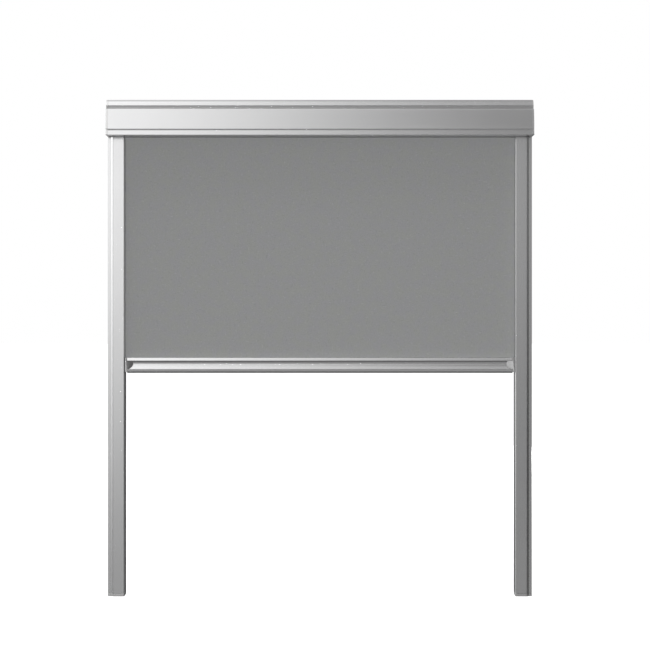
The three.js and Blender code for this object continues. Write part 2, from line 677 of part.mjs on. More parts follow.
function channelBase(side) {
  const turn = LIP + LIP_TURN;
  const section = [
    [0, 0],
    [CHANNEL_WIDTH, 0],
    [CHANNEL_WIDTH, FABRIC_DEPTH - SLOT_HALF],
    [CHANNEL_INNER, FABRIC_DEPTH - SLOT_HALF],
    [CHANNEL_INNER, CHANNEL_WALL],
    [CHANNEL_WALL, CHANNEL_WALL],
    [CHANNEL_WALL, LIP_DEPTH - CHANNEL_WALL],
    [turn, LIP_DEPTH - CHANNEL_WALL],
    [turn + LEDGE_BACK - LIP_DEPTH + CHANNEL_WALL, LEDGE_BACK],
    [SLOPE_END + LEDGE, LEDGE_BACK],
    [SLOPE_END + LEDGE, LEDGE_FRONT],
    [SLOPE_END, LEDGE_FRONT],
    [SLOPE_END, CHANNEL_DEPTH],
    [LIP, LIP_DEPTH],
    [0, LIP_DEPTH],
  ];
  const { radius, bore, from } = CHANNEL_PORT;
  const x = side * (HALF_WIDTH - from);
  const run = [CHANNEL_BOTTOM, CHANNEL_TOP];
  const past = [CHANNEL_BOTTOM - PAST, CHANNEL_TOP + PAST];
  const middle = (CHANNEL_TOP + CHANNEL_BOTTOM) / 2;
  const reach = CHANNEL_LENGTH / 2 - MOUNTING_HOLE.edge;
  const holes = [-reach, 0, reach].map((offset) =>
    rodY(
      MOUNTING_HOLE.radius,
      [-PAST, CHANNEL_WALL + PAST],
      side * (HALF_WIDTH - MOUNTING_HOLE.from),
      middle + offset,
    ),
  );
  const body = join(channelRun(side, section, ...run), rodZ(radius, run, x, from));
  return cut(body, rodZ(bore, past, x, from), ...holes);
}

function channelCover(side) {
  const clip = SLOPE_END + LEDGE + FIT;
  const barb = LEDGE_BACK - FIT;
  const corner = CHANNEL_WIDTH - COVER_CORNER;
  const section = [
    [SLOPE_END + JOINT, CHANNEL_DEPTH],
    ...arc(corner, CHANNEL_DEPTH - COVER_CORNER, COVER_CORNER, 90, 0, 5),
    [CHANNEL_WIDTH, FABRIC_DEPTH + SLOT_HALF],
    [CHANNEL_INNER, FABRIC_DEPTH + SLOT_HALF],
    [CHANNEL_INNER, COVER_INNER],
    [clip + CLIP, COVER_INNER],
    [clip + CLIP, barb - BARB_WALL],
    [clip - BARB, barb - BARB_WALL],
    [clip - BARB, barb],
    [clip, barb],
    [clip, COVER_INNER],
    [SLOPE_END + JOINT, COVER_INNER],
  ];
  return channelRun(side, section, CHANNEL_BOTTOM, CHANNEL_TOP);
}

function channelBrush(side, edge, way) {
  const span = channelSpan(side, CHANNEL_INNER + PILE_INSET, CHANNEL_WIDTH - PILE_INSET);
  const depths = [FABRIC_DEPTH + way * PILE_GAP, FABRIC_DEPTH + way * (edge - FIT)];
  return block(span, depths, [CHANNEL_BOTTOM, CHANNEL_TOP]);
}

function channelEndCap(side) {
  const corner = CHANNEL_WIDTH - COVER_CORNER;
  const section = [
    [0, 0],
    [CHANNEL_WIDTH, 0],
    ...arc(corner, CHANNEL_DEPTH - COVER_CORNER, COVER_CORNER, 0, 90, 5),
    [SLOPE_END, CHANNEL_DEPTH],
    [LIP, LIP_DEPTH],
    [0, LIP_DEPTH],
  ];
  const top = CHANNEL_BOTTOM - FIT;
  const foot = top - CHANNEL_CAP;
  const x = side * (HALF_WIDTH - CHANNEL_PORT.from);
  const spigot = channelSpan(side, SPIGOT.from, SPIGOT.to);
  const headTop = foot + SCREW_HEAD.height + FIT;
  return cut(
    join(
      channelRun(side, section, foot, top),
      block(spigot, [SPIGOT.back, SPIGOT.front], [top - PAST, top + SPIGOT.drop]),
    ),
    rodZ(CHANNEL_PORT.bore, [foot - PAST, top + PAST], x, CHANNEL_PORT.from),
    rodZ(SCREW_HEAD.radius + BORE_FIT, [foot - PAST, headTop], x, CHANNEL_PORT.from),
  );
}

function channelEndScrew(side) {
  const x = side * (HALF_WIDTH - CHANNEL_PORT.from);
  const face = CHANNEL_BOTTOM - FIT - CHANNEL_CAP;
  const headTop = face + SCREW_HEAD.height;
  const radius = CHANNEL_PORT.bore - BORE_FIT;
  return join(
    rodZ(SCREW_HEAD.radius, [face, headTop], x, CHANNEL_PORT.from),
    rodZ(radius, [headTop - BORE_FIT, headTop + CHANNEL_SCREW], x, CHANNEL_PORT.from),
  );
}

function barStop(side) {
  const span = channelSpan(side, BAR_STOP.from, BAR_STOP.to);
  const front = LEDGE_BACK - FIT - 2 * BARB;
  return block(span, [BAR_STOP.back, front], [CHANNEL_BOTTOM, CHANNEL_BOTTOM + BAR_STOP.height]);
}

function sideChannels() {
  const group = new THREE.Group();
  for (const [name, side] of Object.entries(SIDES)) {
    group.add(mesh(`channel_base_${name}`, channelBase(side), ALUMINIUM));
    group.add(mesh(`channel_cover_${name}`, channelCover(side), ALUMINIUM));
    group.add(mesh(`channel_brush_front_${name}`, channelBrush(side, SLOT_HALF, 1), PILE));
    group.add(mesh(`channel_brush_rear_${name}`, channelBrush(side, SLOT_HALF, -1), PILE));
    group.add(mesh(`channel_end_cap_${name}`, channelEndCap(side), SILVER_PAINT));
    group.add(mesh(`channel_end_screw_${name}`, channelEndScrew(side), STEEL));
    group.add(mesh(`bar_stop_${name}`, barStop(side), RUBBER));
  }
  return group;
}

// ---- Bottom bar, drawn with its top face at z = 0 ----

const SEAL_DEPTH = BAR_FRONT - SEAL.setback;
const CHAMBER_FRONT = SEAL_DEPTH - SEAL.head / 2 - FIT - BAR_WALL;
const CHAMBER_TOP = -(KEDER.below + KEDER.cavity + BAR_WALL);
const CHAMBER_FOOT = -BAR_HEIGHT + BAR_WALL;
const BAR_PORT_DEPTH = BAR_BACK + BAR_PORT.back;
const BAR_PORT_Z = -BAR_HEIGHT / 2;

// The scoop's curve, from under the flange down to the lower lip, drawn inwards by gap.
function scoopCurve(gap) {
  const radius = SCOOP_RADIUS - gap;
  return arc(SCOOP_DEPTH, SCOOP_Z, radius, 180 - SCOOP.upper, 180 + SCOOP.lower, 12);
}

function barProfile() {
  const section = [
    [BAR_BACK, 0],
    [BAR_FRONT - FLANGE_LEAN, 0],
    [BAR_FRONT, -FLANGE_HEIGHT],
    ...scoopCurve(0),
    [BAR_FRONT, SCOOP_FOOT],
    [BAR_FRONT - LIP_LEAN, -BAR_HEIGHT],
    [BAR_BACK, -BAR_HEIGHT],
  ];
  const past = [-BAR_HALF - PAST, BAR_HALF + PAST];
  const mouth = KEDER.mouth / 2;
  const stem = SEAL.stem / 2 + FIT;
  const head = SEAL.head / 2 + FIT;
  const headFoot = -BAR_HEIGHT + SEAL.rise - FIT;
  const hollow = cut(
    alongX(section, -BAR_HALF, BAR_HALF),
    block(past, [BAR_BACK + BAR_WALL, CHAMBER_FRONT], [CHAMBER_FOOT, CHAMBER_TOP]),
    rodX(KEDER.cavity, past, FABRIC_DEPTH, -KEDER.below),
    block(past, [FABRIC_DEPTH - mouth, FABRIC_DEPTH + mouth], [-KEDER.below, PAST]),
    block(past, [SEAL_DEPTH - stem, SEAL_DEPTH + stem], [-BAR_HEIGHT - PAST, headFoot]),
    block(
      past,
      [SEAL_DEPTH - head, SEAL_DEPTH + head],
      [headFoot, headFoot + SEAL.headHeight + 2 * FIT],
    ),
  );
  const run = [-BAR_HALF, BAR_HALF];
  const port = rodX(BAR_PORT.radius, run, BAR_PORT_DEPTH, BAR_PORT_Z, ROUND / 2);
  return cut(join(hollow, port), rodX(BAR_PORT.bore, past, BAR_PORT_DEPTH, BAR_PORT_Z, ROUND / 2));
}

function barFabricKeder() {
  return rodX(KEDER.radius, [-BAR_HALF, BAR_HALF], FABRIC_DEPTH, -KEDER.below, ROUND / 2);
}

function barBottomSeal() {
  const run = [-BAR_HALF, BAR_HALF];
  const across = (width) => [SEAL_DEPTH - width / 2, SEAL_DEPTH + width / 2];
  const headFoot = -BAR_HEIGHT + SEAL.rise;
  const lipTop = -BAR_HEIGHT - FIT;
  return join(
    block(run, across(SEAL.head), [headFoot, headFoot + SEAL.headHeight]),
    block(run, across(SEAL.stem), [lipTop - SEAL.thickness / 2, headFoot + BORE_FIT]),
    block(run, across(SEAL.lip), [lipTop - SEAL.thickness, lipTop]),
  );
}

// The slanted filler that closes the end of the finger scoop.
function scoopWedge(side) {
  const outer = BAR_CAP_INNER + PAST;
  const inner = BAR_CAP_INNER - WEDGE_LENGTH;
  const floor = SCOOP_DEPTH - SCOOP_RADIUS;
  const section = [[BAR_FRONT, -FLANGE_HEIGHT], ...scoopCurve(FIT), [BAR_FRONT, SCOOP_FOOT]];
  const filler = alongX(section, side * inner, side * outer);
  const slope = alongZ(
    [
      [side * inner, floor],
      [side * BAR_CAP_INNER, BAR_FRONT],
      [side * outer, BAR_FRONT],
      [side * outer, floor],
    ],
    SCOOP_FOOT + FIT,
    -FLANGE_HEIGHT - FIT,
  );
  return filler.intersect(slope);
}

function barEndCap(side) {
  const span = [side * BAR_CAP_INNER, side * BAR_CAP_OUTER];
  const past = [side * (BAR_CAP_INNER - PAST), side * (BAR_CAP_OUTER + PAST)];
  const headFloor = side * (BAR_CAP_OUTER - SCREW_HEAD.height - FIT);
  const mouth = KEDER.mouth / 2;
  return cut(
    join(block(span, [BAR_BACK, BAR_FRONT], [-BAR_HEIGHT, 0]), scoopWedge(side)),
    block(past, [FABRIC_DEPTH - mouth, FABRIC_DEPTH + mouth], [-FABRIC_TUCK - FIT, PAST]),
    block(
      past,
      [TONGUE.back - TONGUE.play, TONGUE.front + TONGUE.play],
      [TONGUE.foot - FIT, TONGUE.top + FIT],
    ),
    rodX(BAR_PORT.bore, past, BAR_PORT_DEPTH, BAR_PORT_Z, ROUND / 2),
    rodX(SCREW_HEAD.radius + BORE_FIT, [headFloor, past[1]], BAR_PORT_DEPTH, BAR_PORT_Z, ROUND / 2),
  );
}

function barCapScrew(side) {
  const radius = BAR_PORT.bore - BORE_FIT;
  return screwX(side * BAR_CAP_OUTER, side, BAR_SCREW, radius, BAR_PORT_DEPTH, BAR_PORT_Z);
}

const SLIDE_FRONT = LEDGE_BACK - FIT - BARB_WALL - SLIDE.clear;

function slide(side) {
  const body = block(
    channelSpan(side, SLIDE.from, SLIDE.to),
    [SLIDE.back, SLIDE_FRONT],
    [SLIDE.foot, SLIDE.top],
  );
  const tongue = block(
    [side * (HALF_WIDTH - SLIDE.to + PAST), side * (BAR_HALF - TONGUE.reach)],
    [TONGUE.back, TONGUE.front],
    [TONGUE.foot, TONGUE.top],
  );
  return join(body, tongue);
}

function frictionPad(side) {
  const back = SLIDE_FRONT + FIT;
  return block(
    channelSpan(side, PAD.from, PAD.to),
    [back, COVER_INNER - RUNNING],
    [SLIDE.foot + PAD.margin, SLIDE.top - PAD.margin],
  );
}

function slideSpring(side) {
  const seat = SLIDE.back - FIT;
  const [low, high] = [SLIDE.foot + LEAF.margin, SLIDE.top - LEAF.margin];
  const section = [
    ...bow([seat, low], [seat, high], LEAF.bow, 8),
    ...bow([seat - LEAF.thickness, low], [seat - LEAF.thickness, high], LEAF.bow, 8).reverse(),
  ];
  return alongX(section, ...channelSpan(side, LEAF.from, LEAF.to));
}

function bottomBar() {
  const group = new THREE.Group();
  group.position.set(0, 0, BAR_TOP);
  group.add(mesh("bar_profile", barProfile(), ALUMINIUM));
  group.add(mesh("bar_fabric_keder", barFabricKeder(), DARK_PLASTIC));
  group.add(mesh("bar_bottom_seal", barBottomSeal(), RUBBER));
  for (const [name, side] of Object.entries(SIDES)) {
    group.add(mesh(`bar_end_cap_${name}`, barEndCap(side), PLASTIC));
    group.add(mesh(`bar_cap_screw_${name}`, barCapScrew(side), STEEL));
    group.add(mesh(`slide_${name}`, slide(side), DARK_PLASTIC));
    group.add(mesh(`slide_spring_${name}`, slideSpring(side), STEEL));
    group.add(mesh(`friction_pad_${name}`, frictionPad(side), PILE));
  }
  return group;
}

// ---- Fabric, from the roll down to the bar ----

function fabricSheet() {
  const half = FABRIC_THICKNESS / 2;
  const sheet = block(
    [-TUBE_HALF, TUBE_HALF],
    [FABRIC_DEPTH - half, FABRIC_DEPTH + half],
    [BAR_TOP - FABRIC_TUCK, AXIS_RISE],
  );
  return mesh("fabric_sheet", sheet, FABRIC);
}

const group = new THREE.Group();
group.add(casing(), roller(), sideChannels(), bottomBar(), fabricSheet());

export default group;
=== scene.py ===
import math
import random

import bmesh
import bpy
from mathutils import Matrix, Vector


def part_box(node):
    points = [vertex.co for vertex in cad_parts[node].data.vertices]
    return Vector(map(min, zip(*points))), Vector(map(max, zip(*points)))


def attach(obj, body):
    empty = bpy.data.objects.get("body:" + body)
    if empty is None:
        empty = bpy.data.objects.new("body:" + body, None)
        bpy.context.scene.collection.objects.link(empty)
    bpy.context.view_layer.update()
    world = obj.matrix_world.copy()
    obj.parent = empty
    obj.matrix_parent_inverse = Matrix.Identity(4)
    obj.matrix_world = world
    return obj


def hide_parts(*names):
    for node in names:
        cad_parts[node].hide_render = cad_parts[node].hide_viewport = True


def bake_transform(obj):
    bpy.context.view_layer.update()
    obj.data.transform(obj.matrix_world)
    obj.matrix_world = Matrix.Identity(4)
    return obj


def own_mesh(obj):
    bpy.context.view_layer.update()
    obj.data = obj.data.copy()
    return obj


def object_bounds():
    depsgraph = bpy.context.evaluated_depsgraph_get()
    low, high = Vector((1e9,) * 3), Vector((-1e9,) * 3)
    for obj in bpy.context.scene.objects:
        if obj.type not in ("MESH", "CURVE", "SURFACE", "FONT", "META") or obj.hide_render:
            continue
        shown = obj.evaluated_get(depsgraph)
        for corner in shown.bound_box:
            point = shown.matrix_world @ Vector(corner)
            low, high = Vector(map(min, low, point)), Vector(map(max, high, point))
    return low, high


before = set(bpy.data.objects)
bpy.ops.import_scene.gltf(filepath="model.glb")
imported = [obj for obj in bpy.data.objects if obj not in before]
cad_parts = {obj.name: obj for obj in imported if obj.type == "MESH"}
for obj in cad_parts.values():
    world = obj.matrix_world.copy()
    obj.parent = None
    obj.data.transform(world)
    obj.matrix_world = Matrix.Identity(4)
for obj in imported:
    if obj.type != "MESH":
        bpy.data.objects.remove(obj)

# A roof-window roller blind in satin aluminium: a casing with a spring roller, two side channels,
# a blackout fabric, and a bottom bar that runs in the channels.
# Sections are drawn in millimetres. The frame is in metres: +X right, the room on the -Y side.

MM = 0.001
CAD_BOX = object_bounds()
SIDES = {"left": -1, "right": 1}


def corner(node, which):
    """A CAD node's lowest (0) or highest (1) corner, in millimetres."""
    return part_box(node)[which] / MM


# ---- Places taken from the frame, in millimetres ----
HALF_WIDTH = corner("channel_base_right", 1).x
CASING_HALF = corner("casing_front", 1).x
CASING_TOP = corner("casing_rear", 1).z
CASING_FOOT = corner("casing_rear", 0).z
CROWN_Y = corner("casing_front", 0).y
RETURN_Y = corner("casing_front", 1).y
COVER_TOP = corner("casing_front", 1).z
CHANNEL_TOP = corner("channel_base_left", 1).z
CHANNEL_FOOT = corner("channel_base_left", 0).z
BAR_HALF = corner("bar_profile", 1).x
BAR_TOP = corner("bar_profile", 1).z
BAR_FOOT = corner("bar_profile", 0).z
BAR_FRONT_Y = corner("bar_profile", 0).y
BAR_BACK_Y = corner("bar_profile", 1).y
FABRIC_HALF = corner("fabric_sheet", 1).x
FABRIC_Y = (corner("fabric_sheet", 0).y + corner("fabric_sheet", 1).y) / 2
FABRIC_THICKNESS = corner("fabric_sheet", 1).y - corner("fabric_sheet", 0).y
FLOOR_Z = CAD_BOX[0].z

# ---- Sizes of the sections, in millimetres ----
WALL = 1.6
COVER_WALL = 1.5
EDGE = 0.25  # rounding of an extruded edge
SAWN_EDGE = 0.3  # the share of that rounding at a sawn end
SHARP = 30  # degrees between faces, above which an edge is rounded
JOIN = 0.02  # how close the CAD's loose corners lie when they are joined
FIXING_INSET = 34  # of a channel's outer screw holes, from its ends
FIXING_RADIUS = 2.2
WOUND_INNER = 11.45  # radius of the innermost turn of fabric
WOUND_THICKNESS = 0.4  # a little under the fabric's own, so that turns don't touch
PILE_SWAY = 0.09  # how far a fibre leans, as a share of the pitch
PILE_SHORT = 0.35  # how much shorter the shortest fibre is
PILE_HELD = 0.6  # the share of the fibres' length that stays straight
SCREW_HEAD = 2.3  # radius
SCREW_HEAD_HEIGHT = 1.7

random.seed(11)


# ---- Camera ----

def make_camera():
    distance = 2.3
    middle_z = -0.2963
    data = bpy.data.cameras.new("Camera")
    data.lens = 87.76
    data.sensor_width = 36
    data.shift_x = 0.0079
    camera = bpy.data.objects.new("Camera", data)
    camera.location = (0, -distance, middle_z)
    camera.rotation_euler = (math.pi / 2, 0, 0)
    bpy.context.scene.collection.objects.link(camera)
    bpy.context.scene.camera = camera


make_camera()


# ---- Shader nodes ----

class Value:
    """A number that varies over a surface. Its operators add Math nodes."""

    def __init__(self, finish, socket):
        self.finish = finish
        self.socket = socket

    def math(self, operation, *values):
        return self.finish.add("Math", {"operation": operation}, dict(enumerate(values)))

    def __add__(self, other):
        return self.math("ADD", self, other)

    def __sub__(self, other):
        return self.math("SUBTRACT", self, other)

    def __rsub__(self, other):
        return self.math("SUBTRACT", other, self)

    def __mul__(self, other):
        return self.math("MULTIPLY", self, other)

    def sine(self):
        return self.math("SINE", self)

    def clamped(self):
        return self.math("MINIMUM", self.math("MAXIMUM", self, 0.0), 1.0)

    def between(self, start, end):
        """0 at start, 1 at end, and a smooth step from one to the other."""
        if start > end:
            return 1 - self.between(end, start)
        values = {"Value": self, "From Min": start, "From Max": end}
        return self.finish.add("MapRange", {"interpolation_type": "SMOOTHSTEP"}, values)

    __radd__ = __add__
    __rmul__ = __mul__


class Finish:
    """A material, or a world, and the nodes that make it."""

    def __init__(self, owner):
        owner.use_nodes = True
        self.owner = owner
        self.tree = owner.node_tree

    def add(self, kind, settings=None, values=None, output=0):
        node = self.tree.nodes.new("ShaderNode" + kind)
        for name, setting in (settings or {}).items():
            setattr(node, name, setting)
        for key, value in (values or {}).items():
            if isinstance(value, Value):
                self.tree.links.new(value.socket, node.inputs[key])
            else:
                node.inputs[key].default_value = value
        return Value(self, node.outputs[output])

    def shader(self, kind="Principled BSDF"):
        return self.tree.nodes[kind]

    def place(self, scale=(1, 1, 1)):
        """Object coordinates in metres, stretched."""
        coordinates = self.add("TexCoord", output="Object")
        return self.add("Mapping", values={"Vector": coordinates, "Scale": scale})

    def part(self, vector, axis):
        """One coordinate of a vector."""
        return self.add("SeparateXYZ", values={"Vector": vector}, output=axis)

    def noise(self, scale, detail, roughness=0.5):
        """Noise with scale's number of spots to the metre along each axis."""
        values = {"Vector": self.place(scale), "Scale": 1, "Detail": detail, "Roughness": roughness}
        return self.add("TexNoise", values=values, output="Fac")

    def mix(self, factor, low, high):
        """A colour between low and high."""
        settings = {"data_type": "RGBA"}
        return self.add("Mix", settings, {"Factor": factor, "A": low, "B": high}, output="Result")

    def bump(self, height, strength, distance):
        values = {"Height": height, "Strength": strength, "Distance": distance}
        return self.add("Bump", values=values)

    def feed(self, name, value):
        self.tree.links.new(value.socket, self.shader().inputs[name])

    def constant(self, **values):
        for name, value in values.items():
            self.shader().inputs[name.replace("_", " ")].default_value = value


def new_finish(name):
    return Finish(bpy.data.materials.new(name))


def grey(level, blue=1.0):
    return (level, level, level * blue, 1)


# ---- Finishes ----

def satin_aluminium(name, along):
    """Anodised extrusion: fine die lines run along it, with a soft cloudiness in the satin."""
    finish = new_finish(name)
    fine = tuple(3 if axis == along else 2600 for axis in "XYZ")
    broad = tuple(1.2 if axis == along else 420 for axis in "XYZ")
    lines = finish.noise(fine, detail=3)
    bands = finish.noise(broad, detail=2)
    cloud = finish.noise((30, 30, 30), detail=4)
    speck = finish.noise((2400, 2400, 2400), detail=1)
    shade = (lines * 0.5 + bands * 0.3 + speck * 0.2).clamped()
    finish.feed("Base Color", finish.mix(shade, grey(0.77, 1.008), grey(0.83, 1.002)))
    finish.feed("Roughness", 0.16 + 0.05 * lines + 0.03 * cloud + 0.03 * speck)
    finish.feed("Normal", finish.bump(lines * 0.7 + bands * 0.3, 0.1, 0.00001))
    finish.constant(Metallic=0.97, IOR=1.45)
    return finish.owner


def blackout_fabric():
    """A plain weave of slightly uneven yarn under a matt coating, with slubs in both directions."""
    finish = new_finish("Blackout fabric")
    pitch = 0.00042
    turns = 2 * math.pi / pitch
    place = finish.place()
    across = finish.part(place, "X")
    down = finish.part(place, "Z")
    weave = (across * turns).sine() * (down * turns).sine() * 0.5 + 0.5
    slub_across = finish.noise((170, 170, 900), detail=2).between(0.6, 0.78)
    slub_down = finish.noise((900, 170, 170), detail=2).between(0.6, 0.78)
    thin_across = finish.noise((240, 240, 1300), detail=1).between(0.62, 0.8)
    thin_down = finish.noise((1300, 240, 240), detail=1).between(0.62, 0.8)
    patch = finish.noise((75, 75, 75), detail=3).between(0.35, 0.65)
    fleck = finish.noise((620, 620, 620), detail=3)
    light = slub_across * 0.5 + slub_down * 0.5
    dark = thin_across * 0.38 + thin_down * 0.38
    tone = (0.32 + light - dark + (fleck - 0.5) * 0.5 + weave * 0.16).clamped()
    cool = finish.mix(tone, (0.222, 0.224, 0.231, 1), (0.330, 0.331, 0.338, 1))
    warm = finish.mix(tone, (0.224, 0.228, 0.221, 1), (0.331, 0.336, 0.326, 1))
    finish.feed("Base Color", finish.mix(patch, cool, warm))
    finish.feed("Roughness", 0.86 + 0.1 * fleck)
    height = weave * 0.5 + slub_across * 0.5 + slub_down * 0.5 + fleck * 0.4
    finish.feed("Normal", finish.bump(height, 0.45, 0.00006))
    finish.constant(Specular_IOR_Level=0.22)
    return finish.owner


def moulded_plastic(name, low, high, rough, metallic):
    """Moulded plastic with a fine eroded texture and faint flow marks, painted where metallic."""
    finish = new_finish(name)
    grain = finish.noise((2600, 2600, 2600), detail=3, roughness=0.6)
    flow = finish.noise((60, 60, 140), detail=3)
    finish.feed("Base Color", finish.mix((grain * 0.6 + flow * 0.4).clamped(), low, high))
    finish.feed("Roughness", rough + 0.08 * grain + 0.04 * flow)
    finish.feed("Normal", finish.bump(grain, 0.12, 0.00002))
    finish.constant(Metallic=metallic, Specular_IOR_Level=0.45)
    return finish.owner


def zinc_steel():
    """Zinc-plated steel: bright, with a faint spangle and drawing lines."""
    finish = new_finish("Zinc-plated steel")
    spangle = finish.noise((420, 420, 420), detail=4, roughness=0.6)
    lines = finish.noise((40, 2200, 2200), detail=2)
    tone = (spangle * 0.6 + lines * 0.4).clamped()
    finish.feed("Base Color", finish.mix(tone, (0.43, 0.44, 0.46, 1), (0.66, 0.67, 0.68, 1)))
    finish.feed("Roughness", 0.26 + 0.16 * spangle)
    finish.feed("Normal", finish.bump(spangle, 0.2, 0.00003))
    finish.constant(Metallic=1.0)
    return finish.owner


def brush_pile():
    """Dense dark pile, with its fibres lying across the strip."""
    finish = new_finish("Brush pile")
    upright = finish.noise((300, 300, 5200), detail=3, roughness=0.65)
    level = finish.noise((5200, 300, 300), detail=3, roughness=0.65)
    fibres = (upright * 0.5 + level * 0.5).clamped()
    finish.feed("Base Color", finish.mix(fibres, grey(0.012, 1.05), grey(0.075, 1.05)))
    finish.feed("Normal", finish.bump(fibres, 0.8, 0.0001))
    finish.constant(Roughness=0.95, Specular_IOR_Level=0.15, Sheen_Weight=0.15)
    return finish.owner


def black_rubber():
    """Extruded rubber with a faint bloom."""
    finish = new_finish("Black rubber")
    bloom = finish.noise((90, 700, 700), detail=4)
    finish.feed("Base Color", finish.mix(bloom, grey(0.013), grey(0.034)))
    finish.feed("Roughness", 0.55 + 0.25 * bloom)
    finish.feed("Normal", finish.bump(bloom, 0.25, 0.00004))
    return finish.owner


ALUMINIUM_LEVEL = satin_aluminium("Satin aluminium, lengthwise grain", "X")
ALUMINIUM_UPRIGHT = satin_aluminium("Satin aluminium, upright grain", "Z")
FABRIC = blackout_fabric()
SILVER_PLASTIC = moulded_plastic("Silver-painted plastic", grey(0.77), grey(0.82), 0.2, 0.95)
GREY_PLASTIC = moulded_plastic("Grey metallic plastic", grey(0.64), grey(0.70), 0.22, 0.97)
DARK_PLASTIC = moulded_plastic("Dark plastic", grey(0.035, 1.04), grey(0.06, 1.04), 0.42, 0)
STEEL = zinc_steel()
PILE = brush_pile()
RUBBER = black_rubber()
SLOTS = {
    "satin_aluminium": ALUMINIUM_LEVEL,
    "blackout_fabric": FABRIC,
    "grey_plastic": GREY_PLASTIC,
    "silver_plastic": SILVER_PLASTIC,
    "dark_plastic": DARK_PLASTIC,
    "steel": STEEL,
    "brush_pile": PILE,
    "black_rubber": RUBBER,
}


# ---- Ways of making a piece ----

def only(piece):
    """Select one piece and nothing else."""
    bpy.ops.object.select_all(action="DESELECT")
    piece.select_set(True)
    bpy.context.view_layer.objects.active = piece


def apply_modifier(piece, kind, **settings):
    only(piece)
    modifier = piece.modifiers.new(kind.title(), kind)
    for name, setting in settings.items():
        setattr(modifier, name, setting)
    bpy.ops.object.modifier_apply(modifier=modifier.name)


def soften(piece, width, segments=2, along=None):
    """Round the sharp edges, less so round the sawn ends of a length that runs along an axis."""
    mesh = bmesh.new()
    mesh.from_mesh(piece.data)
    weight = mesh.edges.layers.float.new("bevel_weight_edge")
    for edge in mesh.edges:
        if edge.calc_face_angle(0) > math.radians(SHARP):
            reach = edge.verts[0].co - edge.verts[1].co
            at_end = along is not None and abs(reach["XYZ".index(along)]) < MM
            edge[weight] = SAWN_EDGE if at_end else 1
    mesh.to_mesh(piece.data)
    mesh.free()
    only(piece)
    bpy.ops.object.shade_smooth()
    apply_modifier(piece, "BEVEL", width=width * MM, segments=segments, limit_method="WEIGHT")
    apply_modifier(piece, "WEIGHTED_NORMAL", weight=100, keep_sharp=False)


def dress(piece, slot, body, *nodes, material=None):
    """Give a piece its finish and its body, and let it stand for its CAD nodes."""
    piece.data.materials.clear()
    piece.data.materials.append(material or SLOTS[slot])
    if nodes:
        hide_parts(*nodes)
    if body:
        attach(piece, body)


def cut(piece, cutter):
    apply_modifier(piece, "BOOLEAN", operation="DIFFERENCE", solver="EXACT", object=cutter)
    bpy.data.objects.remove(cutter)


def move_mesh(piece, turn=(0, 0, 0), shift=(0, 0, 0), scale=(1, 1, 1)):
    """Turn, stretch and shift the mesh, and leave the object at the origin."""
    only(piece)
    piece.scale = scale
    piece.rotation_euler = [math.radians(degrees) for degrees in turn]
    piece.location = Vector(shift) * MM
    bpy.ops.object.transform_apply(location=True, rotation=True, scale=True)


def mesh_copy(piece, name):
    twin = piece.copy()
    twin.data = piece.data.copy()
    twin.name = name
    twin.parent = None
    bpy.context.scene.collection.objects.link(twin)
    return twin


def mirrored(piece, name):
    """The right-hand twin of a left-hand piece."""
    twin = mesh_copy(piece, name)
    move_mesh(twin, scale=(-1, 1, 1))
    bpy.ops.object.mode_set(mode="EDIT")
    bpy.ops.mesh.select_all(action="SELECT")
    bpy.ops.mesh.normals_make_consistent(inside=False)
    bpy.ops.mesh.customdata_custom_splitnormals_clear()
    bpy.ops.object.mode_set(mode="OBJECT")
    apply_modifier(twin, "WEIGHTED_NORMAL", weight=100, keep_sharp=False)
    return twin


def tidy_mesh(piece, join=0, flat=0):
    """Join corners closer than join, make faces within flat degrees one, and point all outwards."""
    only(piece)
    bpy.ops.object.mode_set(mode="EDIT")
    bpy.ops.mesh.select_all(action="SELECT")
    if join:
        bpy.ops.mesh.remove_doubles(threshold=join * MM)
    if flat:
        bpy.ops.mesh.dissolve_limited(angle_limit=math.radians(flat))
    bpy.ops.mesh.normals_make_consistent(inside=False)
    bpy.ops.object.mode_set(mode="OBJECT")


def refined(node, width):
    """A CAD node's shape with its triangles joined into whole faces and its edges rounded."""
    piece = mesh_copy(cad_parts[node], node + "_finished")
    tidy_mesh(piece, join=JOIN, flat=1)
    soften(piece, width)
    return piece


def on_circle(centre, radius, degrees):
    angle = math.radians(degrees)
    return (centre[0] + radius * math.cos(angle), centre[1] + radius * math.sin(angle))


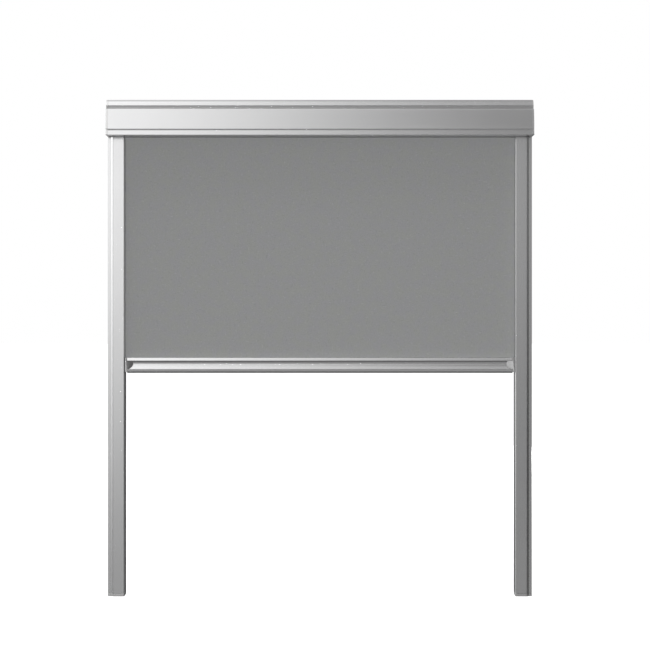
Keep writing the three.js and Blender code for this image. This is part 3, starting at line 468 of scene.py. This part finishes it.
class Outline:
    """A section drawn edge by edge, then drawn out into a straight length.

    place turns the section's two coordinates, in millimetres, into a point in space."""

    def __init__(self, name, place, axis, start):
        bpy.ops.object.select_all(action="DESELECT")
        bpy.ops.mesh.primitive_plane_add(size=MM)
        self.piece = bpy.context.object
        self.piece.name = name
        self.place = place
        self.axis = axis
        self.at = start
        bpy.ops.object.mode_set(mode="EDIT")
        bpy.ops.mesh.merge(type="CENTER")
        bpy.ops.transform.translate(value=place(*start))

    def line(self, *points):
        for point in points:
            step = self.place(*point) - self.place(*self.at)
            bpy.ops.mesh.extrude_vertices_move(TRANSFORM_OT_translate={"value": step})
            self.at = point
        return self

    def arc(self, centre, degrees, steps):
        """Turn about a centre, anticlockwise where degrees is positive."""
        angle = math.radians(degrees)
        bpy.ops.mesh.spin(steps=steps, angle=angle, center=self.place(*centre), axis=self.axis)
        u = self.at[0] - centre[0]
        v = self.at[1] - centre[1]
        cosine = math.cos(angle)
        sine = math.sin(angle)
        self.at = (centre[0] + u * cosine - v * sine, centre[1] + u * sine + v * cosine)
        return self

    def bow(self, end, rise, steps=8):
        """A shallow curve that stands out to the left of the straight way to its end."""
        start = Vector(self.at)
        chord = Vector(end) - start
        left = Vector((-chord.y, chord.x)).normalized()
        half = chord.length / 2
        radius = (half * half + rise * rise) / (2 * rise)
        centre = start + chord / 2 - left * (radius - rise)
        self.arc(tuple(centre), -math.degrees(2 * math.asin(half / radius)), steps)
        self.at = end
        return self

    def screw_port(self, centre, radius, bore, first, mouth, last):
        """A screw port's open ring: from first to the mouth, round the bore, and on to last.

        first, mouth and last are degrees about the centre, radius and bore its two radii."""
        outer_half = 24
        bore_half = outer_half + 12
        steps = 6
        self.line(on_circle(centre, radius, first))
        turn = 1 if last > first else -1
        self.arc(centre, mouth - turn * outer_half - first, steps)
        self.line(on_circle(centre, bore, mouth - turn * bore_half))
        self.arc(centre, -turn * (360 - 2 * bore_half), 3 * steps)
        self.line(on_circle(centre, radius, mouth + turn * outer_half))
        self.arc(centre, last - mouth - turn * outer_half, steps)
        return self

    def drawn(self, length):
        """Close the outline and draw it out."""
        bpy.ops.mesh.select_all(action="SELECT")
        bpy.ops.mesh.remove_doubles(threshold=MM / 1000)
        bpy.ops.mesh.edge_face_add()
        bpy.ops.mesh.extrude_region_move(TRANSFORM_OT_translate={"value": Vector(length) * MM})
        bpy.ops.mesh.select_all(action="SELECT")
        bpy.ops.mesh.normals_make_consistent(inside=False)
        bpy.ops.object.mode_set(mode="OBJECT")
        return self.piece


def along_x(name, left, start):
    """An outline in depth and height, for a length that runs to the right from left."""
    def place(depth, z):
        return Vector((left, -depth, z)) * MM

    return Outline(name, place, (1, 0, 0), start)


def upright(name, start):
    """An outline in distance from the blind's left side and depth, for a left channel's length."""
    def place(u, depth):
        return Vector((u - HALF_WIDTH, -depth, CHANNEL_FOOT)) * MM

    return Outline(name, place, (0, 0, 1), start)


# ---- Casing ----

def casing_rear():
    """The back, the top and the bowed band above the cover, with the ports for the end screws."""
    half = CASING_TOP
    outline = along_x("casing_rear_shell", -CASING_HALF, (0, -half))
    outline.line((0, half), (33, half))
    outline.bow((39.5, 17.0), 1.2)
    outline.line((38.65, 17.0), (37.9, COVER_TOP), (37.9, 10.0), (39.2, 10.0), (39.2, 8.5))
    outline.line((36.4, 8.5), (36.4, 17.6), (32.4, half - WALL), (WALL, half - WALL))
    for height in (20, -20):
        outline.screw_port((3.8, height), radius=2.6, bore=1.4, first=147.8, mouth=0, last=-147.8)
    outline.line((WALL, -half))
    piece = outline.drawn((2 * CASING_HALF, 0, 0))
    soften(piece, 0.22, along="X")
    dress(piece, "satin_aluminium", "frame", "casing_rear")


def casing_front():
    """The snap-on cover: a tall face that leans back to its rounded top, a fine groove and a band."""
    crown = -CROWN_Y
    foot = CASING_FOOT
    outline = along_x("casing_front_cover", -CASING_HALF, (38.2, COVER_TOP))
    outline.line((42.0, COVER_TOP))
    outline.arc((42.0, COVER_TOP - 1.6), -90, 6)
    outline.bow((crown, -17.25), 0.5)
    outline.line((45.3, -17.65), (45.0, -19.05), (45.9, -19.35), (crown, foot))
    outline.line((-RETURN_Y, foot), (-RETURN_Y, foot + COVER_WALL))
    outline.line((45.0, foot + COVER_WALL), (43.8, -20.15), (43.8, -16.45), (45.0, -15.25))
    outline.line((42.1, 9.6), (41.8, 10.3), (38.2, 10.3))
    piece = outline.drawn((2 * CASING_HALF, 0, 0))
    soften(piece, 0.2, along="X")
    dress(piece, "satin_aluminium", "frame", "casing_front")


def moulded_pieces():
    """Pieces that keep the CAD's outlines, with whole faces and rounded edges."""
    both_sides = (
        ("end_cap_", 0.12, "silver_plastic", "frame"),
        ("mounting_bracket_", 0.15, "steel", "frame"),
        ("channel_end_cap_", EDGE, "silver_plastic", "frame"),
        ("bar_stop_", EDGE, "black_rubber", "frame"),
        ("bar_end_cap_", 0.18, "grey_plastic", "bottom_bar"),
        ("slide_", EDGE, "dark_plastic", "bottom_bar"),
        ("friction_pad_", 0.3, "brush_pile", "bottom_bar"),
    )
    for side in SIDES:
        for stem, rounding, slot, body in both_sides:
            dress(refined(stem + side, rounding), slot, body, stem + side)
    seal = refined("bar_bottom_seal", 0.3)
    dress(seal, "black_rubber", "bottom_bar", "bar_bottom_seal")


# ---- Side channels ----

def channel_base():
    """The left channel: back, both walls, the lip and slope of its face, and the screw's port."""
    outline = upright("channel_base_extrusion_left", (0, 0))
    outline.line((24, 0), (24, 6), (22.6, 6), (22.6, WALL))
    outline.screw_port((3.9, 3.9), radius=2.4, bore=1.3, first=-73.4, mouth=45, last=163.4)
    outline.line((WALL, 19.4), (5.2, 19.4), (6.8, 21.0), (9.5, 21.0), (9.5, 22.3), (7.4, 22.3))
    outline.line((7.4, 24), (4.5, 21), (0, 21))
    piece = outline.drawn((0, 0, CHANNEL_TOP - CHANNEL_FOOT))
    middle = (CHANNEL_TOP + CHANNEL_FOOT) / 2
    for z in (CHANNEL_TOP - FIXING_INSET, middle, CHANNEL_FOOT + FIXING_INSET):
        bpy.ops.object.select_all(action="DESELECT")
        bpy.ops.mesh.primitive_cylinder_add(
            vertices=32, radius=FIXING_RADIUS * MM, depth=6 * MM,
            location=Vector((13 - HALF_WIDTH, -1, z)) * MM, rotation=(math.pi / 2, 0, 0),
        )
        cut(piece, bpy.context.object)
    soften(piece, 0.22, along="Z")
    return piece


def channel_cover():
    """The left channel's flat cover: rounded inner corner, inner wall, and the barb that clips in."""
    outline = upright("channel_cover_strip_left", (7.9, 24))
    outline.line((23.1, 24))
    outline.arc((23.1, 23.1), -90, 5)
    outline.line((24, 16), (22.6, 16), (22.6, 22.6), (10.9, 22.6), (10.9, 19.9), (8.6, 19.9))
    outline.line((8.6, 20.7), (9.8, 20.7), (9.8, 22.6), (7.9, 22.6))
    piece = outline.drawn((0, 0, CHANNEL_TOP - CHANNEL_FOOT))
    soften(piece, 0.15, along="Z")
    return piece


def pile_strip(name, node, body, pile, along, root, tip, pitch):
    """A strip of dense pile from root to tip, its fibres along one axis and its length along another."""
    low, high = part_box(node)
    length = "XYZ".index(along)
    reach = "XYZ".index(pile)
    thick = 3 - length - reach
    count = int((high[length] - low[length]) / (pitch * MM))
    bpy.ops.object.select_all(action="DESELECT")
    bpy.ops.mesh.primitive_grid_add(x_subdivisions=count, y_subdivisions=4, size=1)
    piece = bpy.context.object
    piece.name = name
    rows = {}
    for vertex in piece.data.vertices:
        along_share = vertex.co.x + 0.5
        reach_share = vertex.co.y + 0.5
        column = round(along_share * count)
        if column not in rows:
            rows[column] = (random.uniform(-PILE_SWAY, PILE_SWAY), random.uniform(0, PILE_SHORT))
        sway, short = rows[column]
        place = [0, 0, 0]
        place[length] = low[length] + along_share * (high[length] - low[length])
        place[reach] = root + reach_share * (tip - root)
        if reach_share > PILE_HELD and 0 < column < count:
            free = (reach_share - PILE_HELD) / (1 - PILE_HELD)
            place[reach] -= short * MM * (1 if tip > root else -1) * free
            place[length] += sway * pitch * MM
        place[thick] = (low[thick] + high[thick]) / 2
        vertex.co = place
    apply_modifier(piece, "SOLIDIFY", thickness=high[thick] - low[thick], offset=0)
    tidy_mesh(piece)
    dress(piece, "brush_pile", body, node)


def side_channels():
    pieces = {
        "channel_base_": (channel_base(), "channel_base_extrusion_right"),
        "channel_cover_": (channel_cover(), "channel_cover_strip_right"),
    }
    for node, (left, right_name) in pieces.items():
        right = mirrored(left, right_name)
        for piece, side in ((left, "left"), (right, "right")):
            dress(piece, "satin_aluminium", "frame", node + side, material=ALUMINIUM_UPRIGHT)
    for side in SIDES:
        for row in ("front", "rear"):
            brush = "channel_brush_{}_{}".format(row, side)
            low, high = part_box(brush)
            root, tip = (low.y, high.y) if row == "front" else (high.y, low.y)
            pile_strip(brush + "_pile", brush, "frame", "Y", "Z", root, tip, 1.1)


# ---- Bottom bar ----

def bar_profile():
    """Flange, half-round finger scoop and lower lip, with the fabric's cavity and the seal's slot."""
    top = BAR_TOP
    front = -BAR_FRONT_Y
    back = -BAR_BACK_Y
    height = top - BAR_FOOT
    keder = (11, top - 3.9)
    scoop = (29.14, top - 8.8)
    scoop_radius = 12.41
    outline = along_x("bar_extrusion", -BAR_HALF, (back, top))
    outline.line((10.2, top), on_circle(keder, 2.3, 110.35))
    outline.arc(keder, 319.3, 20)
    outline.line((11.8, top), (front - 1.5, top), (front, top - 4.15))
    outline.line(on_circle(scoop, scoop_radius, 158))
    outline.arc(scoop, 59.5, 16)
    outline.line((front, top - 16.35), (front - 0.4, BAR_FOOT + 0.5), (front - 0.9, BAR_FOOT))
    outline.line((18.2, BAR_FOOT), (18.2, BAR_FOOT + 0.7), (19.1, BAR_FOOT + 0.7))
    outline.line((19.1, BAR_FOOT + 2.5), (15.3, BAR_FOOT + 2.5), (15.3, BAR_FOOT + 0.7))
    outline.line((16.2, BAR_FOOT + 0.7), (16.2, BAR_FOOT), (back, BAR_FOOT))
    piece = outline.drawn((2 * BAR_HALF, 0, 0))

    inner = 5.8
    chamber = along_x("chamber", -BAR_HALF - 1, (inner, top - 7.5))
    chamber.line((14.0, top - 7.5), (14.0, BAR_FOOT + 1.3), (inner, BAR_FOOT + 1.3))
    port = (7.4, top - height / 2)
    chamber.screw_port(port, radius=2.3, bore=1.1, first=-134.1, mouth=0, last=134.1)
    cut(piece, chamber.drawn((2 * BAR_HALF + 2, 0, 0)))
    soften(piece, 0.2, along="X")
    dress(piece, "satin_aluminium", "bottom_bar", "bar_profile")


# ---- Screws ----

def pan_screw(name, shank, length):
    """A pan-head screw with a cross recess. Its head faces +X at the origin."""
    head = SCREW_HEAD
    head_height = SCREW_HEAD_HEIGHT
    bpy.ops.object.select_all(action="DESELECT")
    bpy.ops.mesh.primitive_cylinder_add(
        vertices=32, radius=head * MM, depth=head_height * MM,
        location=(-head_height / 2 * MM, 0, 0), rotation=(0, math.pi / 2, 0),
    )
    piece = bpy.context.object
    piece.name = name
    bpy.ops.object.transform_apply(location=True, rotation=True, scale=True)
    bpy.ops.object.mode_set(mode="EDIT")
    bpy.ops.mesh.select_mode(type="FACE")
    bpy.ops.mesh.select_all(action="DESELECT")
    mesh = bmesh.from_edit_mesh(piece.data)
    under = min(mesh.faces, key=lambda face: face.calc_center_median().x)
    under.select_set(True)
    bmesh.update_edit_mesh(piece.data)
    bpy.ops.mesh.inset(thickness=(head - shank) * MM)
    bpy.ops.mesh.extrude_region_move(
        TRANSFORM_OT_translate={"value": ((head_height + shank - length) * MM, 0, 0)}
    )
    bpy.ops.mesh.extrude_region_move(TRANSFORM_OT_translate={"value": (-shank * MM, 0, 0)})
    bpy.ops.transform.resize(value=(1, 0.3, 0.3), center_override=(0, 0, 0))
    bpy.ops.object.mode_set(mode="OBJECT")
    for turn in (0, 90):
        bpy.ops.object.select_all(action="DESELECT")
        bpy.ops.mesh.primitive_cube_add(size=MM)
        slot = bpy.context.object
        move_mesh(slot, (turn, 0, 0), scale=(1.8, 0.55, head * 1.25))
        cut(piece, slot)
    soften(piece, 0.28, 3)
    return piece


def screws():
    """Every screw is a copy of the one for its length, turned to its place."""
    end = pan_screw("end_screw_pattern", shank=1.3, length=12.7)
    foot = pan_screw("foot_screw_pattern", shank=1.2, length=13.7)
    bar = pan_screw("bar_screw_pattern", shank=1.0, length=10.7)
    for side, sign in SIDES.items():
        turn = (0, 0, 0) if sign > 0 else (0, 0, 180)
        for level in ("upper", "lower"):
            place_screw(end, "end_cap_screw_{}_{}".format(side, level), "frame", turn, sign)
        place_screw(bar, "bar_cap_screw_" + side, "bottom_bar", turn, sign)
        place_screw(foot, "channel_end_screw_" + side, "frame", (0, 90, 0), 0)
    for pattern in (end, foot, bar):
        bpy.data.objects.remove(pattern)


def place_screw(pattern, node, body, turn, sign):
    """Set a screw's head where the CAD node's is: at its outer side, or at its foot if sign is 0."""
    low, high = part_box(node)
    place = (low + high) / 2 / MM
    if sign:
        place.x = (high.x if sign > 0 else low.x) / MM
    else:
        place.z = low.z / MM
    screw = mesh_copy(pattern, node + "_cross_head")
    move_mesh(screw, turn, place)
    dress(screw, "steel", body, node)


# ---- Fabric ----

def fabric_sheet():
    """The hanging fabric: one thin cloth, held flat by the bar's weight and the roller's spring."""
    top = corner("fabric_sheet", 1).z
    foot = corner("fabric_sheet", 0).z
    ripple_height = 0.05
    bpy.ops.object.select_all(action="DESELECT")
    bpy.ops.mesh.primitive_grid_add(x_subdivisions=48, y_subdivisions=72, size=1)
    cloth = bpy.context.object
    cloth.name = "blackout_cloth"
    for vertex in cloth.data.vertices:
        across = vertex.co.x * 2
        down = 0.5 - vertex.co.y
        z = top + down * (foot - top)
        ripple = ripple_height * math.sin(math.pi * down) * math.sin(9 * across + 2 * down)
        vertex.co = Vector((across * FABRIC_HALF, FABRIC_Y + ripple, z)) * MM
    apply_modifier(cloth, "SOLIDIFY", thickness=FABRIC_THICKNESS * MM, offset=0)
    only(cloth)
    bpy.ops.object.shade_smooth_by_angle(angle=math.radians(40))
    dress(cloth, "blackout_fabric", None, "fabric_sheet")
    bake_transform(cloth)


def fabric_roll():
    """The fabric wound on the tube, drawn as one spiral."""
    low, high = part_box("fabric_roll")
    axis_y = (low.y + high.y) / 2
    axis_z = (low.z + high.z) / 2
    outer = (high.z - low.z) / 2 - FABRIC_THICKNESS * MM / 2
    inner = WOUND_INNER * MM
    turns = (outer - inner) / (FABRIC_THICKNESS * MM)
    steps_per_turn = 56
    steps = int(turns * steps_per_turn)
    points = []
    for step in range(steps + 1):
        share = step / steps
        radius = outer + (inner - outer) * share
        angle = -2 * math.pi * turns * share
        points.append((axis_y + radius * math.cos(angle), axis_z + radius * math.sin(angle)))
    mesh = bmesh.new()
    edges = [[mesh.verts.new((x, y, z)) for y, z in points] for x in (low.x, high.x)]
    for step in range(steps):
        here, there = edges
        mesh.faces.new((here[step], there[step], there[step + 1], here[step + 1]))
    data = bpy.data.meshes.new("wound_cloth")
    mesh.to_mesh(data)
    mesh.free()
    roll = bpy.data.objects.new("wound_cloth", data)
    bpy.context.scene.collection.objects.link(roll)
    apply_modifier(roll, "SOLIDIFY", thickness=WOUND_THICKNESS * MM, offset=0)
    only(roll)
    bpy.ops.object.shade_smooth_by_angle(angle=math.radians(40))
    dress(roll, "blackout_fabric", "roller", "fabric_roll")


# ---- Idle pin's spring ----

def pin_spring():
    """The idle pin's coil, with its wire rounded and smoothly shaded."""
    node = "idle_pin_spring"
    piece = mesh_copy(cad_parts[node], node + "_coil")
    tidy_mesh(piece, join=JOIN)
    apply_modifier(piece, "SUBSURF", levels=1, render_levels=1)
    only(piece)
    bpy.ops.object.shade_smooth()
    dress(piece, "steel", "roller", node)
    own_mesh(piece)


# ---- The CAD nodes that stay ----

def finish_cad_nodes():
    """Every CAD node that is still shown takes the finish of its slot."""
    for name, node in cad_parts.items():
        for holder in node.material_slots:
            slot = holder.material.name.split(".")[0]
            holder.material = SLOTS[slot]


# ---- Studio ----

def studio_light():
    """A light world graded for the front: bright to the left and above, darker right and below.

    Narrow strips of it serve the bar's flange and lip and the right channel. To the camera it is
    plain white, and matt surfaces take a fifth of it."""
    world = bpy.data.worlds.new("Studio")
    bpy.context.scene.world = world
    studio = Finish(world)
    direction = studio.add("TexCoord", output="Generated")
    x = studio.part(direction, "X")
    y = studio.part(direction, "Y")
    z = studio.part(direction, "Z")
    left = x.between(0.12, -0.17)
    far_left = x.between(-0.25, -0.6)
    far_right = x.between(0.2, 0.6)
    overhead = z.between(0.6, 0.8) * y.between(-0.1, 0.2)
    above = z.between(-0.19, 0.10) * (1 - 0.55 * overhead)
    high = z.between(0.48, 0.6)
    low = z.between(-0.33, -0.42)
    lip_glow = z.between(-0.17, -0.21) * z.between(-0.35, -0.3)
    right_glow = z.between(-0.06, 0.09) * z.between(0.17, 0.12) * (1 - 0.8 * left)
    base = 0.2 + 0.14 * high - 0.08 * low + 0.15 * lip_glow + 0.13 * right_glow - 0.15 * far_right
    glow = (1.06 - 0.08 * high) * left * above
    edge_on = y.between(-0.2, 0.1)
    side_glow = 0.5 * edge_on * (0.1 + 0.9 * above) - 0.32 * glow * (1 - edge_on)
    front = base + glow + far_left * side_glow
    back = 0.14 + left * (0.22 + 0.48 * above)
    behind = y.between(0.5, 0.85)
    level = front * (1 - behind) + back * behind
    seen = studio.add("LightPath", output="Is Camera Ray")
    soaked = studio.add("LightPath", output="Is Diffuse Ray")
    strength = level * (1 - seen) * (1 - 0.8 * soaked) + seen
    background = studio.shader("Background")
    background.inputs["Color"].default_value = grey(1)
    studio.tree.links.new(strength.socket, background.inputs["Strength"])


def lamp(name, place, size, power):
    """A rectangular lamp aimed at the blind's middle. Reflections and the camera don't show it."""
    aim = (0, 0, -0.3)
    data = bpy.data.lights.new(name, "AREA")
    data.shape = "RECTANGLE"
    data.size, data.size_y = size
    data.energy = power
    light = bpy.data.objects.new(name, data)
    light.location = place
    light.rotation_euler = (Vector(aim) - Vector(place)).to_track_quat("-Z", "Y").to_euler()
    light.visible_glossy = False
    light.visible_camera = False
    bpy.context.scene.collection.objects.link(light)


def floor():
    """A plain pale floor under the channels' feet. It doesn't light the blind."""
    metres = 60
    paint = new_finish("Pale floor")
    wash = paint.noise((3, 3, 3), detail=3)
    paint.feed("Base Color", paint.mix(wash, grey(0.88), grey(0.93)))
    paint.constant(Roughness=0.8, Emission_Color=grey(1.0), Emission_Strength=0.98)
    bpy.ops.object.select_all(action="DESELECT")
    bpy.ops.mesh.primitive_plane_add(size=metres, location=(0, 0, FLOOR_Z))
    ground = bpy.context.object
    ground.name = "floor"
    ground.data.materials.append(paint.owner)
    ground.visible_glossy = False
    ground.visible_diffuse = False


casing_rear()
casing_front()
side_channels()
bar_profile()
moulded_pieces()
screws()
seal_low, seal_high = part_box("casing_brush_seal")
pile_strip("casing_seal_pile", "casing_brush_seal", "frame", "Y", "X", seal_low.y, seal_high.y, 1.2)
fabric_sheet()
fabric_roll()
pin_spring()
finish_cad_nodes()

studio_light()
lamp("Front", (-0.15, -2.7, -0.35), (0.7, 0.5), 59)
lamp("Back", (0.5, 2.7, 0.2), (1.4, 1.4), 55)
lamp("Top", (0, -0.3, 2.4), (2, 2), 25)
floor()
bpy.context.scene.view_settings.view_transform = "Standard"
